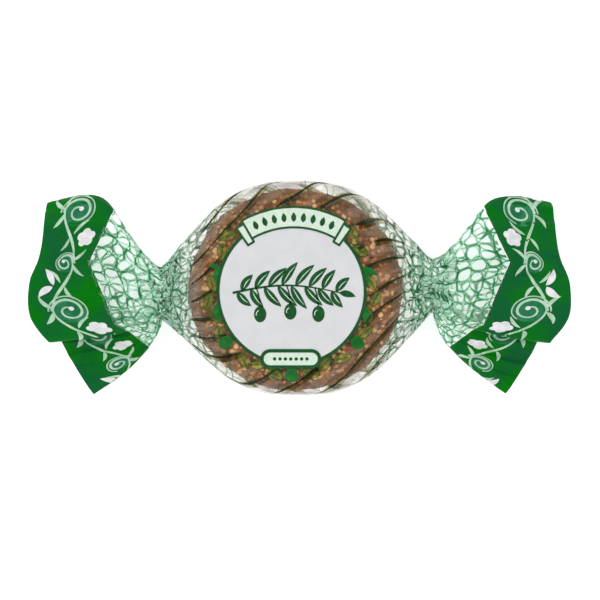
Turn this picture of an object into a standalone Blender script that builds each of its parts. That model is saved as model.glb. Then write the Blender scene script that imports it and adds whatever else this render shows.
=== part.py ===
"""A mantecado, a round crumbly biscuit, twist-wrapped in clear printed film.

The shut pack is one closed solid, lying on its back with the label side up (+Z). Its long axis
is X. A flat round body holds the biscuit, a gathered neck closes the film at each end, and past
each neck the film fans out into a thin pleated tail that is open at its rim. The solid is a loft
through rings of points, from the hollow of one tail, over its rim, neck, body, neck and rim, to
the hollow of the other. Sizes are in millimetres until the mesh is made.
"""

import math

import bmesh
import bpy
import numpy as np

MM = 0.001
NAME = "wrapped_mantecado"

# The body, with the film drawn over a biscuit 50 mm across and 17 mm thick
BODY_X = -0.5  # the biscuit sits a little nearer to one tail
BODY_HALF_WIDTH = 25.6
BODY_HEIGHT = 17.5
BASE_SINK = 0.35  # how far the rounded section would dip below its flat base
BODY_SQUARENESS = 5.3  # added to the section's power in the middle of the body
BODY_END = 27.0  # distance from the middle at which the section is as round as the neck's
SHOULDER_WIDE = 1.4, 1.2  # powers that shape the body's outline from above
SHOULDER_HIGH = 11.0  # length over which the body rises from the neck

# The necks, where the film is gathered and twisted
NECK_REACH = 33.0  # distance from the body's middle
NECK_HALF_WIDTH = 5.8
NECK_HALF_HEIGHT = 4.6
NECK_POWER = 2.2
NECK_DROP = -0.35  # Y of the two necks' middle
NECK_SKEW = 1.1  # and how far each lies from that, to opposite sides
GATHERS = 8  # pleats round a neck
NECK_GATHER_DEPTH = 0.5
BODY_GATHER_DEPTH = 0.3
GATHER_REACH = 9.0  # how far the pleats run on to the body
NECK_TURN = 1.1  # radians that the pleats turn through on the way to the neck

# A tail, as the points that its free edge runs through: X from the middle of the pack, Y, and
# height above the neck's centre. The front starts near the middle, folds under itself and out
# again, and turns at the lower tip to come back behind.
RIM = (
    (65.4, 0.8, 4.2),
    (65.1, -7.1, 5.2),
    (60.6, -12.8, 4.2),
    (60.6, -9.2, 2.6),
    (61.0, -5.6, 0.8),
    (58.5, -11.3, -0.6),
    (55.6, -17.3, -1.1),
    (50.1, -25.6, -2.3),
    (54.2, -15.6, -4.4),
    (61.0, -3.5, -5.2),
    (62.6, 9.2, -3.8),
    (61.0, 17.0, -3.0),
    (61.3, 21.2, 0.0),
    (62.3, 11.3, 3.5),
    (63.3, 6.8, 3.0),
)
RIM_TURN = 0.002  # share of a round by which the rim's start lies behind the neck's

# A tail's lines from neck to rim are cubic curves. Their control points lie at these shares of
# the way, in X, Y and Z, each a polynomial in the rim's Y with its constant first.
NEAR_NECK = (0.27, 0.0114), (0.65, 0.0048), (0.7,)
NEAR_RIM = (0.32, -0.0103, 0.00034), (1.03, 0.0106, 0.00021), (1.0,)
TAIL_PLEAT_DEPTH = 0.35
TAIL_WALL = 0.4
HOLLOW_FROM = 0.5  # share of the tail's length where its hollow ends
HOLLOW_POINT = (44.0, 1.0, 1.0)  # the hollow's bottom, given as in RIM

# How finely the solid is divided
POINTS_ROUND = 64
BODY_RINGS = 25
TAIL_RINGS = 10
NECK_CROWDING = 0.35  # how much closer the body's rings lie towards the necks
FINE_STEPS = 1440  # points of the fine curve that a ring's points are read from

CENTRE_Z = BODY_HEIGHT / 2


def swell(share, power):
    """Rises from 0 to 1 with a steep start and a level end, and stays at 1."""
    return math.sin(math.pi / 2 * min(1.0, max(0.0, share))) ** power


def half_width(off):
    """The body's half width, as seen from above, at a distance from its middle."""
    inner, outer = SHOULDER_WIDE
    share = math.cos(math.pi / 2 * min(1.0, off / NECK_REACH) ** inner) ** outer
    return NECK_HALF_WIDTH + (BODY_HALF_WIDTH - NECK_HALF_WIDTH) * share


def half_height(off):
    share = swell((NECK_REACH - off) / SHOULDER_HIGH, 1.1)
    return NECK_HALF_HEIGHT + (CENTRE_Z - NECK_HALF_HEIGHT) * share


def section_power(off):
    """2 gives an ellipse, and more a squarer section."""
    return NECK_POWER + BODY_SQUARENESS * max(0.0, 1 - (off / BODY_END) ** 2) ** 1.5


def evenly_spaced(curve, count, turn=0.0):
    """Points at equal distances along a closed curve, the first a share of a round from its start."""
    closed = np.vstack([curve, curve[:1]])
    steps = np.linalg.norm(np.diff(closed, axis=0), axis=1)
    along = np.concatenate([[0.0], np.cumsum(steps)]) / steps.sum()
    wanted = (np.arange(count) / count + turn) % 1.0
    return np.column_stack([np.interp(wanted, along, axis) for axis in closed.T])


def gather_depth(off):
    """How deep the pleats are: deepest at the neck, and fading out over the body."""
    share = max(0.0, 1 - (NECK_REACH - off) / GATHER_REACH)
    return BODY_GATHER_DEPTH * min(1.0, 2 * share) + (
        NECK_GATHER_DEPTH - BODY_GATHER_DEPTH
    ) * share**3


def gathered(ring, centre, off):
    """The ring with its points pushed in and out across it, as pleats that turn along X."""
    depth = gather_depth(off)
    if depth == 0.0:
        return ring
    turn = NECK_TURN * (NECK_REACH - off) / GATHER_REACH
    rounds = 2 * math.pi * np.arange(len(ring)) / len(ring)
    outward = ring - centre
    outward /= np.linalg.norm(outward, axis=1)[:, None]
    return ring + outward * (depth * np.cos(GATHERS * rounds + turn))[:, None]


def body_ring(along):
    """A ring of the body, at a distance along X from its middle, from the top towards -Y."""
    off = abs(along)
    share = along / NECK_REACH
    middle = (NECK_DROP + NECK_SKEW * share) * share**6
    power = section_power(off)
    low = half_height(off) + BASE_SINK * swell((NECK_REACH - off) / SHOULDER_HIGH, 2)
    angles = 2 * math.pi * np.arange(FINE_STEPS) / FINE_STEPS
    across, up = -np.sin(angles), np.cos(angles)
    high = np.where(up < 0, low, half_height(off))
    reach = (
        np.abs(across / half_width(off)) ** power + np.abs(up / high) ** power
    ) ** (-1 / power)
    y = middle + reach * across
    z = np.maximum(CENTRE_Z + reach * up, 0.0)
    curve = np.column_stack([np.full(FINE_STEPS, BODY_X + along), y, z])
    ring = evenly_spaced(curve, POINTS_ROUND)
    return gathered(ring, np.array([BODY_X + along, middle, CENTRE_Z]), off)


def rim_ring():
    """The tail's free edge, as a smooth closed curve through RIM."""
    points = np.array(RIM) + np.array([0.0, 0.0, CENTRE_Z])
    steps = FINE_STEPS // len(points)
    share = (np.arange(steps) / steps)[:, None]
    pieces = []
    for i in range(len(points)):
        before, start, end, after = (points[(i + k) % len(points)] for k in (-1, 0, 1, 2))
        bend = 2 * before - 5 * start + 4 * end - after
        twist = -before + 3 * start - 3 * end + after
        pieces.append(
            start + 0.5 * ((end - before) * share + bend * share**2 + twist * share**3)
        )
    return evenly_spaced(np.vstack(pieces), POINTS_ROUND, RIM_TURN)


def surface_normals(rings):
    """Unit normals of the sheet through the rings, pointing out of the pack on the +X side."""
    along = np.gradient(rings, axis=0)
    around = np.roll(rings, -1, axis=1) - np.roll(rings, 1, axis=1)
    normals = np.cross(around, along)
    return normals / np.linalg.norm(normals, axis=2)[:, :, None]


def control_points(neck, rim, shares):
    """A row of control points of the tail's lines, at shares of the way from neck to rim."""
    way = [np.polynomial.polynomial.polyval(rim[:, 1], axis) for axis in shares]
    return neck + (rim - neck) * np.column_stack(way)


def tail_sheet(neck):
    """The outer rings of a tail on the +X side, from the neck's ring to the rim."""
    rim = rim_ring()
    near, far = (control_points(neck, rim, shares) for shares in (NEAR_NECK, NEAR_RIM))
    s = np.linspace(0, 1, TAIL_RINGS + 1)[:, None, None]
    start, end = neck * (1 - s) ** 3, rim * s**3
    sheet = start + 3 * near * s * (1 - s) ** 2 + 3 * far * s**2 * (1 - s) + end
    rounds = 2 * math.pi * np.arange(POINTS_ROUND) / POINTS_ROUND
    pleats = np.cos(GATHERS * rounds)[None, :, None] * s * TAIL_PLEAT_DEPTH
    return sheet + surface_normals(sheet) * pleats


def mirrored(points):
    return points * np.array([-1.0, 1.0, 1.0])


def tail_rings(side):
    """All rings of one tail past its neck: out to the rim, over it and back into the hollow."""
    neck = body_ring(side * NECK_REACH)
    outer = tail_sheet(neck if side > 0 else mirrored(neck))
    inner = outer - surface_normals(outer) * TAIL_WALL
    first = round(HOLLOW_FROM * TAIL_RINGS)
    rings = list(outer[1:]) + list(inner[:first:-1])
    return rings if side > 0 else [mirrored(ring) for ring in rings]


def body_stations():
    """Where each ring lies from neck to neck, closer together towards the necks."""
    shares = np.linspace(-1, 1, BODY_RINGS)
    return NECK_REACH * ((1 + NECK_CROWDING) * shares - NECK_CROWDING * shares**3)


def loft(rings, start_point, end_point):
    """A closed mesh through the rings, closed at each end by a fan about its point."""
    mesh = bmesh.new()
    loops = [[mesh.verts.new(point * MM) for point in ring] for ring in rings]
    count = POINTS_ROUND
    for near, far in zip(loops, loops[1:]):
        for i in range(count):
            j = (i + 1) % count
            mesh.faces.new((near[i], far[i], far[j], near[j]))
    for loop, point, turned in ((loops[0], start_point, True), (loops[-1], end_point, False)):
        tip = mesh.verts.new(point * MM)
        for i in range(count):
            j = (i + 1) % count
            mesh.faces.new((tip, loop[i], loop[j]) if turned else (tip, loop[j], loop[i]))
    bmesh.ops.triangulate(mesh, faces=mesh.faces[:])
    bmesh.ops.recalc_face_normals(mesh, faces=mesh.faces[:])
    return mesh


def wrapper_material():
    material = bpy.data.materials.new("printed_film")
    material.use_nodes = True
    surface = material.node_tree.nodes["Principled BSDF"]
    surface.inputs["Base Color"].default_value = (0.18, 0.30, 0.14, 1)
    surface.inputs["Roughness"].default_value = 0.2
    surface.inputs["Metallic"].default_value = 0.0
    return material


def build():
    for obj in list(bpy.data.objects):
        bpy.data.objects.remove(obj)
    body = [body_ring(along) for along in body_stations()]
    rings = tail_rings(-1)[::-1] + body + tail_rings(1)
    end = np.array(HOLLOW_POINT) + np.array([0.0, 0.0, CENTRE_Z])
    mesh = loft(rings, mirrored(end), end)
    data = bpy.data.meshes.new(NAME)
    mesh.to_mesh(data)
    mesh.free()
    data.shade_smooth()
    data.set_sharp_from_angle(angle=math.radians(40))
    data.materials.append(wrapper_material())
    collection = bpy.data.collections.new("twist_wrapped_mantecado")
    bpy.context.scene.collection.children.link(collection)
    collection.objects.link(bpy.data.objects.new(NAME, data))


build()
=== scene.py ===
"""The looks of a mantecado, a round crumbly biscuit, twist-wrapped in clear printed film.

The film is one sheet, laid out as rows of points round the pack, from the rim of one tail to the
rim of the other, and green in a band at each end. The rest of its print is thin shapes laid on
that sheet: a net of green lines, a white vine on each band, and a round label in a wreath. Sizes
are in millimetres until a mesh is made.
"""

import math
import random

import bpy
import numpy as np
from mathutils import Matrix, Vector, noise


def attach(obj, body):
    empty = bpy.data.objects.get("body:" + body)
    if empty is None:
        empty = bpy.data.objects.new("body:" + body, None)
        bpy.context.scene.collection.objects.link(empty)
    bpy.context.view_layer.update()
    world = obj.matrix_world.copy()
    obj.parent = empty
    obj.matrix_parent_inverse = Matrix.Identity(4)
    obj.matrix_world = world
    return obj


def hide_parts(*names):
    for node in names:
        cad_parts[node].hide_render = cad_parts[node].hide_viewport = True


MM = 0.001
NODE = "wrapped_mantecado"

# The wrapped form, as in the solid, where each of these is explained
BODY_X = -0.5
BODY_HALF_WIDTH = 25.6
BODY_HEIGHT = 17.5
BASE_SINK = 0.35
BODY_SQUARENESS = 5.3
BODY_END = 27.0
SHOULDER_WIDE = 1.4, 1.2
SHOULDER_HIGH = 11.0
NECK_REACH = 33.0
NECK_HALF_WIDTH = 5.8
NECK_HALF_HEIGHT = 4.6
NECK_POWER = 2.2
NECK_DROP = -0.35
NECK_SKEW = 1.1
GATHERS = 8
NECK_GATHER_DEPTH = 0.5
BODY_GATHER_DEPTH = 0.3
GATHER_REACH = 9.0
NECK_TURN = 1.1
RIM = (
    (65.4, 0.8, 4.2),
    (65.1, -7.1, 5.2),
    (60.6, -12.8, 4.2),
    (60.6, -9.2, 2.6),
    (61.0, -5.6, 0.8),
    (58.5, -11.3, -0.6),
    (55.6, -17.3, -1.1),
    (50.1, -25.6, -2.3),
    (54.2, -15.6, -4.4),
    (61.0, -3.5, -5.2),
    (62.6, 9.2, -3.8),
    (61.0, 17.0, -3.0),
    (61.3, 21.2, 0.0),
    (62.3, 11.3, 3.5),
    (63.3, 6.8, 3.0),
)
RIM_TURN = 0.002
NEAR_NECK = (0.27, 0.0114), (0.65, 0.0048), (0.7,)
NEAR_RIM = (0.32, -0.0103, 0.00034), (1.03, 0.0106, 0.00021), (1.0,)
TAIL_PLEAT_DEPTH = 0.35
CENTRE_Z = BODY_HEIGHT / 2
FINE_STEPS = 1440

# The film's sheet
ROUND = 384  # points in each row
BODY_ROWS = 120
CLEAR_TAIL_ROWS = 34
BAND_ROWS = 26
TAIL_ROWS = CLEAR_TAIL_ROWS + BAND_ROWS
TAIL_STEPS = 100  # of a tail's curves, before they are divided into rows
BAND_STEPS = 20, 80  # the steps between which its green band starts
BAND_EDGE_X = 36.4, 42.8, 44.8, 51.3, 45.3, 42.5  # where that is, by Y
BAND_EDGE_Y = -14.4, -9.8, -9.0, 6.3, 18.6, 25.0
SHEET_WIDTH = 126.0  # round the pack, lying flat

# How far the film's folds stand out, and how far they reach
NECK_FOLDS, NECK_FINE_FOLDS = 0.30, 0.14
NECK_FOLDS_REACH = 15.0
TAIL_FOLDS, TAIL_CRUMPLES = 0.34, 0.09
BODY_FOLDS, BODY_SLACK = 0.15, 0.09
BODY_BULGE = 0.32  # between the slanting lines, on the body's side
BULGE_FROM = 21.0  # distance from the biscuit's middle
FADE = 3.0  # over which the body's folds and bulges grow
ROPES = 17  # slanting lines over the body
ROPE_SLANT = 0.72  # how they lean, across for each step along

# The biscuit
BISCUIT_AT = (-1.0, -0.5)
BISCUIT_RADIUS = 24.55
BISCUIT_STRETCH = 1.068  # it is this much longer in X
BISCUIT_TOP = 16.85
BISCUIT_BASE = 0.5
BISCUIT_EDGES = 4.4, 2.6  # radii of its rounded edges, above and below
BISCUIT_STEP = 0.5

# The label
LABEL_AT = (-1.9, -0.8)
LABEL_RADIUS = 17.5
RING_WIDTH = 0.75


def swell(share, power):
    """Rises from 0 to 1 with a steep start and a level end, and stays at 1."""
    return math.sin(math.pi / 2 * min(1.0, max(0.0, share))) ** power


def half_width(off):
    inner, outer = SHOULDER_WIDE
    share = math.cos(math.pi / 2 * min(1.0, off / NECK_REACH) ** inner) ** outer
    return NECK_HALF_WIDTH + (BODY_HALF_WIDTH - NECK_HALF_WIDTH) * share


def half_height(off):
    share = swell((NECK_REACH - off) / SHOULDER_HIGH, 1.1)
    return NECK_HALF_HEIGHT + (CENTRE_Z - NECK_HALF_HEIGHT) * share


def section_power(off):
    return NECK_POWER + BODY_SQUARENESS * max(0.0, 1 - (off / BODY_END) ** 2) ** 1.5


def unit(vectors):
    """Vectors of the same directions and of length 1."""
    return vectors / np.maximum(np.linalg.norm(vectors, axis=-1, keepdims=True), 1e-9)


def lengths_along(line):
    """How far along an open line each of its points lies."""
    steps = np.linalg.norm(np.diff(line, axis=0), axis=1)
    return np.concatenate([[0.0], np.cumsum(steps)])


def respaced(line, shares):
    """Points at shares of the way along an open line."""
    along = lengths_along(line)
    return np.column_stack([np.interp(shares * along[-1], along, axis) for axis in line.T])


def evenly_spaced(curve, count, turn=0.0):
    """Points at equal distances along a closed curve, the first a share of a round from its start."""
    return respaced(np.vstack([curve, curve[:1]]), (np.arange(count) / count + turn) % 1.0)


def gathered(ring, centre, off):
    """The ring with its points pushed in and out, as pleats that turn along X."""
    past = (NECK_REACH - off) / GATHER_REACH
    share = max(0.0, 1 - past)
    depth = BODY_GATHER_DEPTH * min(1.0, 2 * share)
    depth += (NECK_GATHER_DEPTH - BODY_GATHER_DEPTH) * share**3
    rounds = math.tau * np.arange(len(ring)) / len(ring)
    pleats = depth * np.cos(GATHERS * rounds + NECK_TURN * past)
    return ring + unit(ring - centre) * pleats[:, None]


def body_ring(along):
    """A ring of the body, at a distance along X from its middle, from the top towards -Y."""
    off = abs(along)
    share = along / NECK_REACH
    middle = (NECK_DROP + NECK_SKEW * share) * share**6
    power = section_power(off)
    low = half_height(off) + BASE_SINK * swell((NECK_REACH - off) / SHOULDER_HIGH, 2)
    angles = math.tau * np.arange(FINE_STEPS) / FINE_STEPS
    across, up = -np.sin(angles), np.cos(angles)
    high = np.where(up < 0, low, half_height(off))
    reach = np.abs(across / half_width(off)) ** power + np.abs(up / high) ** power
    reach = reach ** (-1 / power)
    y = middle + reach * across
    z = np.maximum(CENTRE_Z + reach * up, 0.0)
    curve = np.column_stack([np.full(FINE_STEPS, BODY_X + along), y, z])
    ring = evenly_spaced(curve, ROUND)
    return gathered(ring, np.array([BODY_X + along, middle, CENTRE_Z]), off)


def smooth_loop(points, steps):
    """A smooth closed curve through the points."""
    before, start, end, after = (np.roll(points, -k, axis=0)[:, None] for k in (-1, 0, 1, 2))
    share = (np.arange(steps) / steps)[:, None]
    bend = 2 * before - 5 * start + 4 * end - after
    twist = -before + 3 * start - 3 * end + after
    curve = start + 0.5 * ((end - before) * share + bend * share**2 + twist * share**3)
    return curve.reshape(-1, 3)


def sheet_normals(rows):
    """Unit normals of the sheet through the rows, pointing out of the pack."""
    along = np.gradient(rows, axis=0)
    around = np.roll(rows, -1, axis=1) - np.roll(rows, 1, axis=1)
    return unit(np.cross(around, along))


def control_points(neck, rim, shares):
    """A row of control points of the tail's lines, at shares of the way from neck to rim."""
    way = [np.polynomial.polynomial.polyval(rim[:, 1], axis) for axis in shares]
    return neck + (rim - neck) * np.column_stack(way)


def tail_rows(neck):
    """The rows of a tail on the +X side, from the neck's row to the rim."""
    rim = smooth_loop(np.array(RIM) + [0.0, 0.0, CENTRE_Z], FINE_STEPS // len(RIM))
    rim = evenly_spaced(rim, ROUND, RIM_TURN)
    near, far = (control_points(neck, rim, shares) for shares in (NEAR_NECK, NEAR_RIM))
    s = np.linspace(0, 1, TAIL_STEPS + 1)[:, None, None]
    start, end = neck * (1 - s) ** 3, rim * s**3
    sheet = start + 3 * near * s * (1 - s) ** 2 + 3 * far * s**2 * (1 - s) + end
    rounds = math.tau * np.arange(ROUND) / ROUND
    pleats = np.cos(GATHERS * rounds)[None, :, None] * s * TAIL_PLEAT_DEPTH
    sheet = sheet + sheet_normals(sheet) * pleats
    beyond = sheet[:, :, 0] - np.interp(sheet[:, :, 1], BAND_EDGE_Y, BAND_EDGE_X)
    columns = []
    for line, over in zip(sheet.swapaxes(0, 1), beyond.T):
        along, k = lengths_along(line), np.clip((over > 0).argmax(), *BAND_STEPS)
        share = np.clip(over[k - 1] / min(over[k - 1] - over[k], -1e-6), 0, 1)
        edge = (along[k - 1] * (1 - share) + along[k] * share) / along[-1]
        clear, band = np.linspace(0, edge, CLEAR_TAIL_ROWS + 1), np.linspace(edge, 1, BAND_ROWS + 1)
        columns.append(respaced(line, np.append(clear, band[1:])))
    return np.stack(columns, axis=1)


def mirrored(points):
    return points * np.array([-1.0, 1.0, 1.0])


def around_noise(turn, along, times, seed):
    """Noise that meets itself after a round, in which it has about twice this many waves."""
    angle = math.tau * turn
    x, y = np.cos(angle) * times / math.pi, np.sin(angle) * times / math.pi
    points = np.stack([x, y, along + seed], axis=-1).reshape(-1, 3)
    return np.reshape([noise.noise(Vector(point)) for point in points], turn.shape)


def creases(values):
    """Sharp folds with flat sides, from smooth noise."""
    return 1 - 2 * np.minimum(1.0, np.abs(values) * 2.6)


def between(grid, row, left, right, down, across):
    """What a grid holds between two rows and two columns, at shares of the way down and across."""
    near = grid[row, left] * (1 - across) + grid[row, right] * across
    far = grid[row + 1, left] * (1 - across) + grid[row + 1, right] * across
    return near * (1 - down) + far * down


class Sheet:
    """The film as rows of points, and the way from a place on the flat sheet to one in space."""

    def __init__(self):
        shares = np.linspace(-1, 1, BODY_ROWS)
        body = np.array([body_ring(NECK_REACH * s) for s in shares])
        right = tail_rows(body[-1])
        left = mirrored(tail_rows(mirrored(body[0])))
        self.rows = np.vstack([left[:0:-1], body, right[1:]])
        self.wrinkle()
        self.normals = sheet_normals(self.rows)
        steps = np.linalg.norm(np.diff(self.rows, axis=0), axis=2).mean(axis=1)
        self.along = np.concatenate([[0.0], np.cumsum(steps)])
        self.along -= self.along.mean()
        self.bands, self.necks = (
            (self.along[rows], self.along[-1 - rows]) for rows in (BAND_ROWS, TAIL_ROWS)
        )
        around = np.linalg.norm(self.rows - np.roll(self.rows, 1, axis=1), axis=2).sum(axis=1)
        self.tightness = around / SHEET_WIDTH

    def wrinkle(self):
        """Pushes the sheet out into folds round the necks and in the tails, and bulges on the body."""
        count = len(self.rows)
        row, turn = np.indices((count, ROUND)) / np.array([1, ROUND])[:, None, None]
        past = np.maximum(TAIL_ROWS - row, row - (count - 1 - TAIL_ROWS))
        in_tail = np.clip(past / TAIL_ROWS, 0, 1)
        side = np.where(row < count / 2, 3.1, 8.7)
        body_step = 2 * NECK_REACH / (BODY_ROWS - 1)
        from_neck = np.clip(-past, 0, None) * body_step
        lean = turn + 0.012 * from_neck
        folds = creases(around_noise(lean, side + from_neck * 0.03, 26, 1.7))
        fine = creases(around_noise(lean, side + from_neck * 0.07, 55, 5.2))
        gathers = NECK_FOLDS * folds + NECK_FINE_FOLDS * fine
        fan = creases(around_noise(turn, side + in_tail * 0.9, 13, 9.4))
        crumple = creases(around_noise(turn, side + in_tail * 5.0, 28, 2.8))
        flared = np.clip(in_tail * 5, 0, 1)
        push = flared * (TAIL_FOLDS * fan + TAIL_CRUMPLES * crumple)
        near_neck = np.clip(1 - from_neck / NECK_FOLDS_REACH, 0, 1) ** 1.5
        push += (1 - flared) * np.where(past > 0, 1.0, near_neck) * gathers
        x, y, z = self.rows.transpose(2, 0, 1)
        slant = turn + (x - BODY_X) * ROPE_SLANT / SHEET_WIDTH
        pulled = creases(around_noise(slant, x * 0.02 + 20, 30, 6.6))
        slack = around_noise(slant, x * 0.10 + 40, 14, 4.4)
        off_label = np.hypot(x - LABEL_AT[0], y - LABEL_AT[1]) - LABEL_RADIUS
        free = np.where(z < CENTRE_Z, 1.0, np.clip(off_label / FADE, 0, 1))
        from_middle = np.hypot(x - BISCUIT_AT[0], y - BISCUIT_AT[1])
        at_side = np.clip((from_middle - BULGE_FROM) / FADE, 0, 1)
        bulge = BODY_BULGE * at_side * np.abs(np.sin(math.pi * ROPES * slant))
        loose = BODY_FOLDS * pulled + BODY_SLACK * slack + bulge
        push += (past <= 0) * (1 - near_neck) * free * loose
        self.rows = self.rows + sheet_normals(self.rows) * push[:, :, None]
        self.rows[:, :, 2] = np.maximum(self.rows[:, :, 2], 0.0)

    def tight(self, v):
        """How many times narrower the sheet is at v, round the pack, than lying flat."""
        return np.interp(v, self.along, self.tightness)

    def at(self, u, v, lift):
        """Points in space at u round the sheet and v along it, lifted off its outer side."""
        return self.at_row(u, np.interp(v, self.along, np.arange(len(self.along))), lift)

    def at_row(self, u, r, lift):
        """The same, with the place along the sheet given in rows."""
        r0 = np.clip(r.astype(int), 0, len(self.along) - 2)
        i = (np.asarray(u) / SHEET_WIDTH * ROUND) % ROUND
        i0 = i.astype(int) % ROUND
        where = r0, i0, (i0 + 1) % ROUND, (r - r0)[..., None], (i - np.floor(i))[..., None]
        return between(self.rows, *where) + between(self.normals, *where) * lift


class Top:
    """Places on top of the body, by X and Y."""

    STEP = 0.25
    REACH = 24.5

    def __init__(self, sheet):
        self.sheet = sheet
        body = sheet.rows[TAIL_ROWS : TAIL_ROWS + BODY_ROWS]
        upper = np.arange(-ROUND // 4, ROUND // 4 + 1)
        self.xs = body[:, 0, 0]
        self.ys = np.arange(-self.REACH, self.REACH, self.STEP)
        self.columns = np.array(
            [np.interp(-self.ys, np.maximum.accumulate(-row[upper, 1]), upper) for row in body]
        )

    def tight(self, y):
        return np.ones_like(y)

    def at(self, x, y, lift):
        r = np.interp(x, self.xs, np.arange(BODY_ROWS))
        j = np.clip((np.asarray(y) + self.REACH) / self.STEP, 0, len(self.ys) - 1.001)
        r0, j0 = np.minimum(r.astype(int), BODY_ROWS - 2), j.astype(int)
        column = between(self.columns, r0, j0, j0 + 1, r - r0, j - j0)
        return self.sheet.at_row(column / ROUND * SHEET_WIDTH, r + TAIL_ROWS, lift)


def grid_faces(rows, columns, base=0, closed=True):
    """Faces of a grid of points, numbered from base. closed joins its last column to its first."""
    here = base + np.arange(rows * columns).reshape(rows, columns)
    beside = np.roll(here, -1, axis=1)
    faces = np.stack([here[:-1], beside[:-1], beside[1:], here[1:]], axis=-1)
    return faces[:, : columns if closed else columns - 1].reshape(-1, 4).tolist()


def placed(name, data):
    """A new object in the scene."""
    thing = bpy.data.objects.new(name, data)
    bpy.context.scene.collection.objects.link(thing)
    return thing


def dressed(name, points, faces, material, smooth=True):
    """A piece of the object, which stands for the solid and rides on it."""
    data = bpy.data.meshes.new(name)
    data.from_pydata((np.asarray(points) * MM).tolist(), [], faces)
    data.materials.append(material)
    if smooth:
        data.shade_smooth()
    piece = placed(name, data)
    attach(piece, "root")
    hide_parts(NODE)


def wrapped(name, strips, material):
    """A piece of film made of strips, each of them rows of points round the pack."""
    points, faces = [], []
    for strip in strips:
        faces += grid_faces(*strip.shape[:2], len(points))
        points += strip.reshape(-1, 3).tolist()
    dressed(name, points, faces, material)


def around(centre, angles, radii):
    """Places round a centre, at angles in degrees."""
    angles = np.radians(angles)
    return np.stack([centre[0] + radii * np.cos(angles), centre[1] + radii * np.sin(angles)], -1)


def leaf_shape(start, end, half_width, bow, steps):
    """A pointed leaf's middle line, bent aside by bow, the way across it and its half widths."""
    start, end = np.asarray(start, float), np.asarray(end, float)
    share = np.linspace(0, 1, steps)
    aside = unit(np.array([start[1] - end[1], end[0] - start[0]]))
    line = start + (end - start) * share[:, None]
    line = line + aside * (bow * 4 * share * (1 - share))[:, None]
    return line, aside, half_width * np.sin(math.pi * share**0.85) ** 0.8


class Shapes:
    """Thin shapes on a surface, at one or more heights off it, gathered into one mesh."""

    def __init__(self, surface, *lifts):
        self.surface, self.lifts = surface, lifts
        self.layers, self.faces = [[] for _ in lifts], []

    def grid(self, places, closed=False):
        """Faces through a grid of places on the surface."""
        self.faces += grid_faces(*places.shape[:2], len(self.layers[0]), closed)
        for points, lift in zip(self.layers, self.lifts):
            where = self.surface.at(places[..., 0], places[..., 1], lift)
            points += where.reshape(-1, 3).tolist()

    def stroke(self, line, half_widths, across=2, closed=False):
        """A line of places drawn at its true width, which may change along it."""
        line = np.asarray(line, float)
        if closed:
            ahead = np.roll(line, -1, axis=0) - np.roll(line, 1, axis=0)
        else:
            ahead = np.gradient(line, axis=0)
        tight = self.surface.tight(line[:, 1])
        ahead[:, 0] *= tight
        ahead = unit(ahead)
        aside = np.column_stack([-ahead[:, 1] / tight, ahead[:, 0]])
        half_widths = np.broadcast_to(half_widths, len(line))
        offs = np.linspace(-1, 1, across)[:, None] * half_widths[None, :]
        self.grid(line[None, :, :] + aside[None, :, :] * offs[:, :, None], closed)

    def leaf(self, start, end, half_width, bow=0.0, steps=9, across=5):
        line, _, widths = leaf_shape(start, end, half_width, bow, steps)
        self.stroke(line, np.maximum(widths, 0.02), across)

    def disc(self, centre, radius, rings=3, sides=20, squash=1.0, lean=0.0):
        """A filled round or oval."""
        radii = np.linspace(0.001, 1, rings + 1)[:, None] * radius
        angles = math.tau * np.arange(sides)[None, :] / sides
        x, y = radii * np.cos(angles), radii * np.sin(angles) * squash
        c, s = math.cos(lean), math.sin(lean)
        self.grid(np.stack([x * c - y * s, x * s + y * c], -1) + centre, closed=True)

    def arc(self, centre, radius, start, end, half_width, step=0.8, across=2):
        """An arc of a circle, its angles in degrees."""
        length = abs(math.radians(end - start)) * radius
        angles = np.linspace(start, end, max(4, round(length / step)))
        self.stroke(around(centre, angles, radius), half_width, across)

    def make(self, name, material):
        """The shapes at every height, as one piece of print."""
        points, faces = [], []
        for layer in self.layers:
            faces += [tuple(i + len(points) for i in face) for face in self.faces]
            points += layer
        dressed(name, points, faces, material)


# Materials. Their sizes are in metres, and their colours as on a screen, 0 to 255


def srgb(colour):
    """A colour as the renderer wants it."""
    return tuple(
        c / 12.92 if c <= 0.04045 else ((c + 0.055) / 1.055) ** 2.4
        for c in (part / 255 for part in colour)
    ) + (1.0,)


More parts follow.
